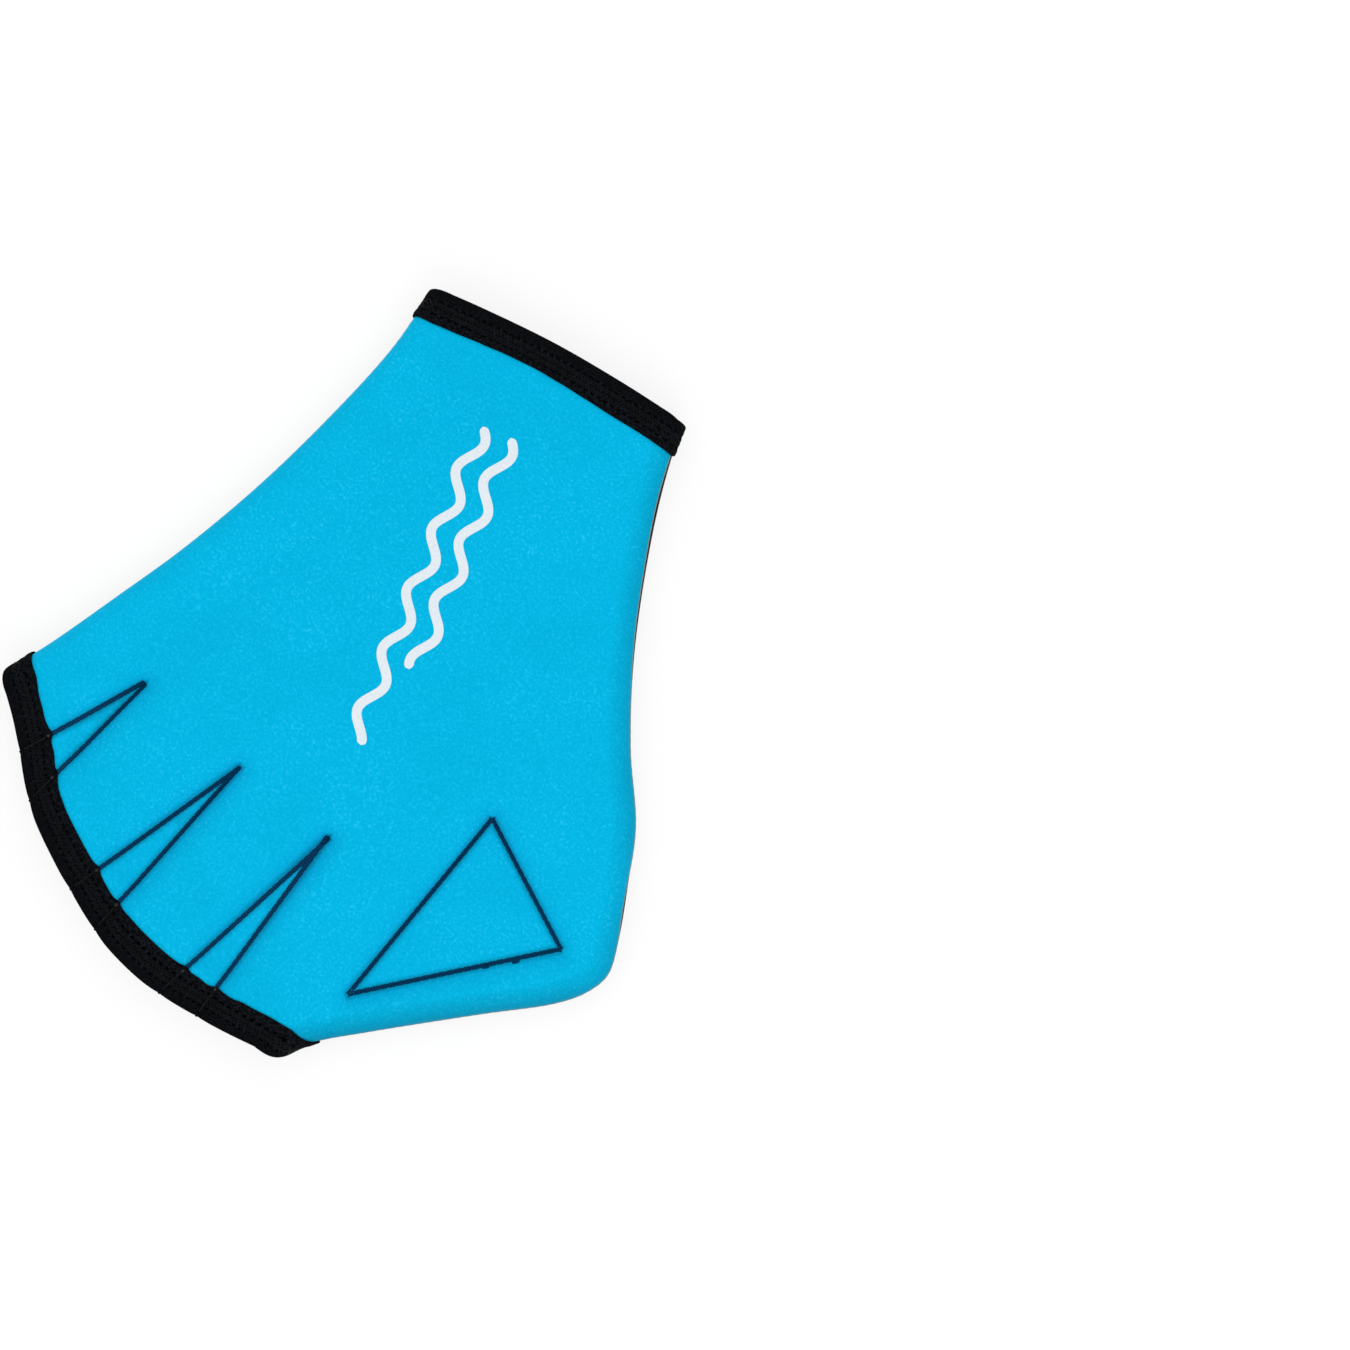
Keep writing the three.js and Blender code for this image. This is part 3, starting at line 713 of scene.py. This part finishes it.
def sheetOutline():
    m = sheetMesh
    wrist, finger = (
        np.array([mouthPoint(name, arc, 0) for arc in mouthArcs(name, m["mouthStep"])])
        for name in mouthNames
    )
    sides = {}
    insets = m["mouthInsets"]
    for name in sideNames:
        rail = rails[name]
        lower, upper = (
            [mouthPoint(edge, 0 if name == "littleSide" else rails[edge]["length"], inset) for inset in rows]
            for edge, rows in zip(mouthNames, (insets, insets[::-1]))
        )
        count = round((rail["length"] - 2 * rampEnd) / m["sideStep"])
        arcs = np.linspace(rampEnd, rail["length"] - rampEnd, count + 1)[1:-1]
        sides[name] = np.vstack([lower, along(rail, arcs)[0], upper])
    # round from the wrist's little side: up the little side, over the fingers, down the thumb side
    return np.vstack([sides["littleSide"], finger, sides["thumbSide"][::-1], wrist[::-1]])


def planOfSheets():
    # rows of points that follow the edges and the sewn lines, and then a filling
    m = sheetMesh
    gap = m["spacing"]
    outline = sheetOutline()
    groups = []
    for row in [0.0, *m["lineRows"]]:
        for turn in ((0,) if row == 0 else (row, -row)):
            points = []
            for start, end in sewnLines:
                length = norm(end - start)
                way = (end - start) / length
                spread = np.linspace(0, length, round(length / m["lineStep"]) + 1)[:, None]
                points += list(start + way * spread + leftOf(way) * turn)
            groups.append((np.array(points), max(gap["least"], gap["line"] * row ** gap["growth"])))
    for name in mouthNames:
        arcs = mouthArcs(name, m["mouthStep"])
        for inset in m["mouthInsets"]:
            groups.append((np.array([mouthPoint(name, arc, inset) for arc in arcs]), gap["rows"]))
    for name in sideNames:
        rail = rails[name]
        arcs = np.arange(rampEnd, rail["length"] - rampEnd, m["sideStep"])
        spot, way = along(rail, arcs)
        rings = [edgeRadius * k / m["ringRows"] for k in range(1, m["ringRows"] + 1)]
        for ring in [*rings, edgeRadius + m["lastRing"]]:
            groups.append((spot + inwardOf(rail, way) * ring, gap["rows"]))
    step = m["fieldStep"]
    low, high = outline.min(axis=0), outline.max(axis=0)
    across, up = np.arange(low[0], high[0], step), np.arange(low[1], high[1], step * m["fieldRow"])
    field = np.array([(x + 0.5 * step * (j % 2), y) for j, y in enumerate(up) for x in across])
    groups.append((field, gap["field"] * step))

    kept = list(outline)
    for points, spacing in groups:
        tree = kdtree.KDTree(len(kept))
        for i, p in enumerate(kept):
            tree.insert((*p, 0), i)
        tree.balance()
        fresh = points[insideOf(outline, points)]
        fresh = np.array([p for p in fresh if tree.find((*p, 0))[2] > spacing])
        if len(fresh) > m["evenFrom"]:
            kept.extend(fresh)
            continue
        keep = np.ones(len(fresh), bool)
        for i in range(len(fresh)):
            if keep[i]:
                keep[i + 1:] &= norm(fresh[i + 1:] - fresh[i], axis=1) > spacing
        kept.extend(fresh[keep] if len(fresh) else [])
    return outline, np.array(kept)


def triangulate(outline, points):
    m = sheetMesh
    edges = [(i, (i + 1) % len(outline)) for i in range(len(outline))]
    spots, _, faces, _, _, _ = delaunay_2d_cdt([Vector(p) for p in points], edges, [], 0, m["merge"])
    flat, faces = np.array([tuple(p) for p in spots]), np.array(faces)
    a, b, c = (flat[faces[:, k]] for k in range(3))
    area = 0.5 * ((b - a)[:, 0] * (c - a)[:, 1] - (b - a)[:, 1] * (c - a)[:, 0])
    faces = faces[insideOf(outline, (a + b + c) / 3) & (np.abs(area) > m["leastArea"])]
    return flat, faces, float(np.abs(area).sum())


def closedSolid(faces, count):
    # faces of one side, the same on the other side, whose vertices are count further on, and walls
    rim = {}  # the edges that one face alone has
    for corners in faces:
        for edge in zip(corners, corners[1:] + corners[:1]):
            if rim.pop(edge[::-1], None) is None:
                rim[edge] = True
    under = [tuple(i + count for i in (f[0], *f[:0:-1])) for f in faces]
    return [*faces, *under, *((a, a + count, b + count, b) for a, b in rim)]


def makeSheets(finishes, lining, foam):
    flat, faces, area = triangulate(*planOfSheets())
    found = measurePlan(flat)
    count = len(flat)
    solid = closedSolid([tuple(f) for f in faces.tolist()], count)
    slots = [0] * len(faces) + [1] * len(faces) + [2] * (len(solid) - 2 * len(faces))
    # painted shade along each side, fading inward from the seam
    start, end = sheetMesh["turnsUnder"]
    paintedRimShade = 1 - found["shade"] * (1 - np.clip((found["toSide"] - start) / (end - start), 0, 1))
    pieces = []
    for name, face, finish in (("back_panel", back, finishes[0]), ("palm_panel", palm, finishes[1])):
        vertices = np.vstack([raisePlan(found, face, 0), raisePlan(found, face, sheetShape["thickness"])])
        attributes = {
            "toLine": np.concatenate([found["toLine"], np.full(count, sheetMesh["farFromLine"])]),
            "rimShade": np.concatenate([paintedRimShade, np.ones(count)]),
        }
        pieces.append(meshPiece(name, vertices, solid, [finish, lining, foam], slots, attributes))
    print("sheets: flat area", round(area / 1e6, 5), "m2")
    return pieces


# tape folded over both mouths

tapeMesh = {
    "step": 0.6,
    "stitched": (2.4, 7.6),  # the zone that the stitches press down, mm from the edge
    "pressed": 0.14,
    "pressEase": (0.5, 0.4),  # outside and inside the zone
    "edgeLean": 0.2,
    "leanRun": 1.6,
    "fullness": 0.8,  # of the outer fold: 1 is round, less is squarer
    # where each line starts before the free edge, and how many points it and its fold have
    "outer": (0.35, 24, 11),
    "inner": (0.25, 8, 7),
    "lip": [(-0.08, -0.62), (0, -0.42), (-0.06, -0.22)],  # round the free edge, from the cut width
    "crossing": (0.5, 1.8),  # the free edge runs out along each web line, by how much and how wide
    "spreadFrom": 6,  # mm from the edge, past which the tape spreads
    # how much wider than cut the tape lies, mm, by share of its mouth
    "spread": {
        "wristEdge": [
            (0, 0.3), (0.05, 0), (0.15, -0.1), (0.25, -0.5), (0.35, -0.85), (0.45, -0.95),
            (0.55, -0.7), (0.65, -0.4), (0.75, -0.15), (0.88, -0.3), (1, 0.1),
        ],
        "fingerEdge": [
            (0, 0.9), (0.04, 0.2), (0.085, -0.7), (0.12, -0.6), (0.17, 0.3), (0.22, 1.4), (0.26, 1.1),
            (0.3, 0.3), (0.34, -0.1), (0.5, -0.1), (0.54, 0), (0.59, 0.7), (0.7, 0.75), (0.76, 0.3),
            (0.8, -0.5), (0.84, 0), (0.87, 1.0), (0.92, 1.9), (1, 2.5),
        ],
    },
}


def tapeSection():
    # outer line from the free edge to the fold, round it and home, then the inner line back
    m, width = tapeMesh, tapeWidth
    middle = sheetShape["thickness"] / 2
    low, high = m["stitched"]
    before, after = m["pressEase"]

    def halfLine(shape, offset, pressed, fullness):
        # one face of the tape down to its fold, and the fold
        start, stops, foldStops = shape
        inset = np.linspace(width - start, 0, stops)
        press = smooth(inset, low - before, low + after) - smooth(inset, high - after, high + before)
        lean = m["edgeLean"] * smooth(inset, width - m["leanRun"], width)
        line = list(zip(inset, -(offset - pressed * press - lean)))
        turn = np.radians(np.linspace(90, -90, foldStops))[1:-1]
        fold = [(-offset * np.cos(a) ** fullness, middle - (middle + offset) * np.sin(a)) for a in turn]
        return line, fold

    def mirrored(line):
        return [(inset, 2 * middle - depth) for inset, depth in line[::-1]]

    outer, outerFold = halfLine(m["outer"], tapeStand, m["pressed"], m["fullness"])
    inner, innerFold = halfLine(m["inner"], tapeShape["clearance"], 0.0, 1)
    lip = [(width + more, depth) for more, depth in m["lip"]]
    there = lip[::-1] + outer + outerFold + mirrored(outer)
    home = mirrored(lip)[::-1] + mirrored(inner)[::-1] + innerFold[::-1] + inner[::-1]
    return np.array(there + home, float)


def tubeFaces(rows, wide, closed=False):
    # quads between the rows of a tube, whose last row joins the first if it is closed
    return [
        (i * wide + k, j * wide + k, j * wide + n, i * wide + n)
        for i, j in zip(range(rows if closed else rows - 1), [*range(1, rows), 0])
        for k, n in zip(range(wide), [*range(1, wide), 0])
    ]


def makeTape(name, edge, finish):
    section = tapeSection()
    across = arcsOf(section)
    arcs = mouthArcs(edge, tapeMesh["step"])
    more, spread = tapeMesh["crossing"]
    crossings = np.array([c["arc"] for c in webCrossings] if edge == "fingerEdge" else [])
    runOut = more * np.exp(-((arcs[:, None] - crossings) / spread) ** 2).sum(axis=1)
    runOut += easedThrough(tapeMesh["spread"][edge], arcs / rails[edge]["length"])
    towardsFree = smooth(section[:, 0], tapeMesh["spreadFrom"], tapeWidth)
    points = np.array([
        mouthPoint(edge, arc, inset + out * free)
        for arc, out in zip(arcs, runOut)
        for inset, free in zip(section[:, 0], towardsFree)
    ])
    depths = np.tile(section[:, 1], len(arcs))
    found = measurePlan(points)
    top = raisePlan(found, back, depths).reshape(len(arcs), len(section), 3)
    bottom = raisePlan(found, palm, depths).reshape(len(arcs), len(section), 3)
    ring = np.vstack([top, bottom[::-1]])
    rows, wide = ring.shape[:2]
    stitched, turns = stitchedLength(edge)
    place = (arcs - coverStitch["from"]) / stitched * turns
    attributes = {
        "across": np.tile(across, rows),
        "inset": np.tile(section[:, 0], rows),
        "stitch": np.repeat([*place, *place[::-1]], wide),
    }
    faces = tubeFaces(rows, wide, closed=True)
    return meshPiece(name, ring.reshape(-1, 3), faces, [finish], attributes=attributes)


# thread

stitchShape = {
    "sides": 8,
    "rings": 6,
    "blunt": 8,  # power that fills out the ends; 2 leaves them round
    "dip": 0.4,  # of the height, at both ends
    "twist": 0.9,  # mm of thread for one turn of its plies
}


def modelStitch(length, width, height, sides=stitchShape["sides"]):
    # one stitch along X, its top at half the height, its ends drawn down into the cloth
    s = stitchShape
    bpy.ops.object.select_all(action="DESELECT")
    bpy.ops.mesh.primitive_uv_sphere_add(
        segments=sides, ring_count=s["rings"], radius=0.5, location=(0, 0, 0),
        rotation=(0, math.radians(90), 0),
    )
    ball = bpy.context.object
    ball.scale = (height, width, length)
    bpy.ops.object.transform_apply(location=False, rotation=True, scale=True)
    spots = np.array([tuple(v.co) for v in ball.data.vertices])
    faces = sorted(tuple(p.vertices) for p in ball.data.polygons)  # Blender's order changes each run
    bpy.data.objects.remove(ball)
    share = np.clip(np.abs(spots[:, 0]) / (length / 2), 0, 0.999)
    fuller = np.sqrt(1 - share ** s["blunt"]) / np.sqrt(1 - share ** 2)
    spots[:, 1:] *= np.clip(fuller, 1, 4)[:, None]
    spots[:, 2] -= s["dip"] * height * share ** 4
    return spots, faces


def layStitches(name, shape, runs, thread):
    # copies of one stitch along runs: each run is (start, end, face, lift), in plan mm
    spots, faces = shape
    points, depths, faceSides, twists, solid = [], [], [], [], []
    around = np.arctan2(spots[:, 1], spots[:, 2]) / (2 * math.pi)
    for number, (start, end, face, lift) in enumerate(runs):
        way = wayOf(start, end)
        across = leftOf(way)
        points.append((start + end) / 2 + spots[:, :1] * way + spots[:, 1:2] * across)
        depths.append(-lift - spots[:, 2])
        faceSides.append(np.full(len(spots), face))
        twists.append(spots[:, 0] / stitchShape["twist"] + around)
        solid += [tuple(i + number * len(spots) for i in f) for f in faces]
    points, depths = np.vstack(points), np.concatenate(depths)
    above = np.concatenate(faceSides)[:, None] == back
    found = measurePlan(points)
    vertices = np.where(above, raisePlan(found, back, depths), raisePlan(found, palm, depths))
    return meshPiece(name, vertices, solid, [thread], attributes={"twist": np.concatenate(twists)})


webStitch = {
    "pitch": 2.6,
    "size": (3.5, 1.5, 0.6),  # length, width and height, as in the sizes below
    "tipSpread": [0.4, -0.1, -0.4],  # how far apart the two lines of each web start, mm; - crosses them
    "overTape": (2.1, 0.55, 0.3),  # across the tape
    "tapeStops": 6,
    "tapeEnd": 0.6,  # mm before the line's end
    "sunk": 0.1,  # into the tape
    "knot": (1.1, 0.8, 0.5),  # where each line comes onto the tape
    "knotSpan": (0.1, 1.2),
    "nub": (1.5, 0.9, 0.8),  # where it goes round the tape's fold
    "nubSpan": (0.2, 1.1),
    "pastCorner": 0.7,  # mm that the lines of the thumb web run on past its corners
    # thick doubled stitches beside a line: sewn line, share of its length, length, offset
    "backTacks": [(-2, 0.645, 3.0, -0.5), (-2, 0.785, 2.0, -0.85)],
    "tack": (2.6, 1.1, 0.9),
    "tackLift": 0.1,
}


def webRuns():
    # the sewn lines on the cloth and over the tape, on both faces, and what ends each line
    w = webStitch
    cloth, tape, knots, nubs = [], [], [], []
    for number, (start, end) in enumerate(sewnLines):
        way = wayOf(start, end)
        if number < fingerLines:
            apart = way - wayOf(*sewnLines[number ^ 1])
            start = start + apart / norm(apart) * w["tipSpread"][number // 2]
            way = wayOf(start, end)
            end = end - way * runPast
        else:
            start, end = start - way * w["pastCorner"], end + way * w["pastCorner"]
        length = norm(end - start)
        onCloth = length - (tapeWidth if number < fingerLines else 0)
        count = round(onCloth / w["pitch"])
        stops = start + way * np.linspace(0, onCloth, count + 1)[:, None]
        lift, foldLift = tapeStand - w["sunk"], -sheetShape["thickness"] / 2
        for face in (back, palm):
            cloth += [(a, b, face, 0.0) for a, b in zip(stops, stops[1:])]
            if onCloth < length:
                over = np.linspace(onCloth, length - w["tapeEnd"], w["tapeStops"])
                over = start + way * over[:, None]
                tape += [(a, b, face, lift) for a, b in zip(over, over[1:])]
                knots.append((*(over[0] + way * step for step in w["knotSpan"]), face, lift))
                nubs.append((*(end + way * step for step in w["nubSpan"]), face, foldLift))
    return cloth, tape, knots, nubs


def backTackRuns():
    w = webStitch
    runs = []
    for line, share, length, offset in w["backTacks"]:
        start, end = sewnLines[line]
        way = wayOf(start, end)
        spot = start + (end - start) * share + leftOf(way) * offset
        runs.append((spot - way * length / 2, spot + way * length / 2, back, w["tackLift"]))
    return runs


def makeWebStitches(finish, overFinish, knotFinish):
    w = webStitch
    cloth, tape, knots, nubs = webRuns()
    above, below = ([run for run in cloth if run[2] == face] for face in (back, palm))
    rows = (  # name, size, runs, thread
        ("web_stitches", w["size"], above, finish),
        ("web_stitches_on_palm", w["size"], below, overFinish),
        ("web_stitches_on_tape", w["overTape"], tape, overFinish),
        ("web_knots", w["knot"], knots, knotFinish),
        ("web_thread_turns", w["nub"], nubs, overFinish),
        ("web_back_tacks", w["tack"], backTackRuns(), finish),
    )
    return [layStitches(name, modelStitch(*size), runs, thread) for name, size, runs, thread in rows]


coverStitch = {
    "rows": [3.1, 5.0, 6.9],  # mm from the edge
    "half": 1.15,  # half of a zigzag's length along the tape
    "from": 1.0,
    "width": 0.46,
    "height": 0.26,
    "sides": 6,
    "overlap": 1.02,
    "proud": 0.02,
}


def stitchedLength(edge):
    # length of a mouth's rows of stitches, and how many whole zigzags they have
    length = rails[edge]["length"] - 2 * coverStitch["from"]
    return length, round(length / coverStitch["half"]) / 2


def coverRuns(edge):
    c = coverStitch
    stitched, turns = stitchedLength(edge)
    arcs = c["from"] + np.linspace(0, stitched, round(2 * turns) + 1)
    lift = tapeStand - tapeMesh["pressed"] + c["proud"]
    runs = []
    for low, high in zip(c["rows"], c["rows"][1:]):
        rows = [low, high] if low == c["rows"][0] else [high, low]
        spots = [mouthPoint(edge, arc, rows[i % 2]) for i, arc in enumerate(arcs)]
        runs += [(a, b, face, lift) for a, b in zip(spots, spots[1:]) for face in (back, palm)]
    return runs


def makeCoverStitches(name, edge, finish):
    c = coverStitch
    low, high = c["rows"][:2]
    length = math.hypot(high - low, c["half"]) * c["overlap"]
    shape = modelStitch(length, c["width"], c["height"], c["sides"])
    return layStitches(name, shape, coverRuns(edge), finish)


# the glue line that shows along both side seams

glueLine = {
    "radius": 0.26,
    "sunk": 0.08,
    "from": 6.0,
    "step": 0.8,
    "sides": 8,
    "ripple": 0.03,
    "rippleTurn": 2.1,  # radians to the mm
}


def makeGlueLine(name, side, finish):
    g = glueLine
    rail = rails[side]
    arcs = np.linspace(g["from"], rail["length"] - g["from"], round(rail["length"] / g["step"]))
    found = measurePlan(along(rail, arcs)[0])
    rings = []
    for k in range(g["sides"]):
        a = 2 * math.pi * k / g["sides"]
        radius = g["radius"] + g["ripple"] * np.sin(arcs * g["rippleTurn"] + math.sin(k))
        turn = radius * math.sin(a) / edgeRadius
        rings.append(raisePlan(found, palm, g["sunk"] - radius * math.cos(a), turn))
    vertices = np.stack(rings, axis=1).reshape(-1, 3)
    first, last = range(g["sides"]), range(len(vertices) - g["sides"], len(vertices))
    faces = [*tubeFaces(len(arcs), g["sides"]), tuple(first)[::-1], tuple(last)]
    return meshPiece(name, vertices, faces, [finish])


# two plain waves printed on the back

wavePrint = {
    "from": (18.6, -86.0),
    "to": (-21.8, 11.0),
    "waves": [(-4.6, 0.0, 1.0), (4.6, 0.0, 0.74)],  # offset to the side, start and end shares
    "stroke": 3.0,
    "height": 2.6,
    "length": 20.0,
    "film": 0.06,
    "sunk": 0.03,
    "step": 0.5,
    "columns": (-1, -0.5, 0, 0.5, 1),  # across the stroke
    "tip": 0.004,  # keeps the round ends from closing to a point
}


def makeWavePrint(finish):
    w = wavePrint
    start, end = np.array(w["from"]), np.array(w["to"])
    way = wayOf(start, end)
    side = leftOf(way)
    whole = norm(end - start)
    wide = len(w["columns"])
    vertices, faces = [], []
    for offset, first, last in w["waves"]:
        s = np.linspace(first * whole, last * whole, round((last - first) * whole / w["step"]))
        swing = offset + w["height"] * np.sin(2 * math.pi * s / w["length"])
        middle = start + way * s[:, None] + side * swing[:, None]
        tangent = np.gradient(middle, axis=0)
        tangent /= norm(tangent, axis=1)[:, None]
        half = w["stroke"] / 2
        toEnd = np.minimum(s - s[0], s[-1] - s)
        half = half * np.sqrt(np.clip(1 - (1 - np.clip(toEnd / half, 0, 1)) ** 2, w["tip"], 1))
        columns = [middle + leftOf(tangent) * (half * k)[:, None] for k in w["columns"]]
        grid = np.stack(columns, axis=1).reshape(-1, 2)
        found = measurePlan(grid)
        rows = range(len(vertices), len(vertices) + len(grid) - wide, wide)
        quads = [(i, i + 1, i + 1 + wide, i + wide) for row in rows for i in range(row, row + wide - 1)]
        faces += closedSolid(quads, len(grid))
        vertices += [*raisePlan(found, back, -w["film"]), *raisePlan(found, back, w["sunk"])]
    return meshPiece("wave_print", np.array(vertices), faces, [finish])


addCamera()
addStudio()
blueJersey = neopreneJersey("nylon jersey on neoprene, blue", *jersey["blue"])
blackJersey = neopreneJersey("nylon jersey on neoprene, black", *jersey["black"])
lining = neopreneJersey("nylon jersey lining, black", *jersey["lining"])
foam = cutFoam("cut neoprene foam", foamFinish["cut"])
tapeCloth = knitTape("nylon binding tape, black")
webThread, tapeThread, crossingThread, knotThread = (
    sewingThread("bonded polyester thread, " + tone, *colours) for tone, colours in threadColours.items()
)
glue = cutFoam("rubber cement over cut foam", foamFinish["glued"])
ink = screenInk("plastisol ink, white")
print("finishes:", len(bpy.data.materials), "materials")

backPanel, palmPanel = makeSheets([blueJersey, blackJersey], lining, foam)
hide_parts("back_sheet")
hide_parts("palm_sheet")

wristTape = makeTape("wrist_tape", "wristEdge", tapeCloth)
fingerTape = makeTape("finger_tape", "fingerEdge", tapeCloth)
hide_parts("wrist_binding")
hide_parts("finger_binding")

webThreads = makeWebStitches(webThread, crossingThread, knotThread)
tapeThreads = [
    makeCoverStitches("wrist_tape_stitches", "wristEdge", tapeThread),
    makeCoverStitches("finger_tape_stitches", "fingerEdge", tapeThread),
]
seams = [
    makeGlueLine("little_side_glue", "littleSide", glue),
    makeGlueLine("thumb_side_glue", "thumbSide", glue),
]
waves = makeWavePrint(ink)
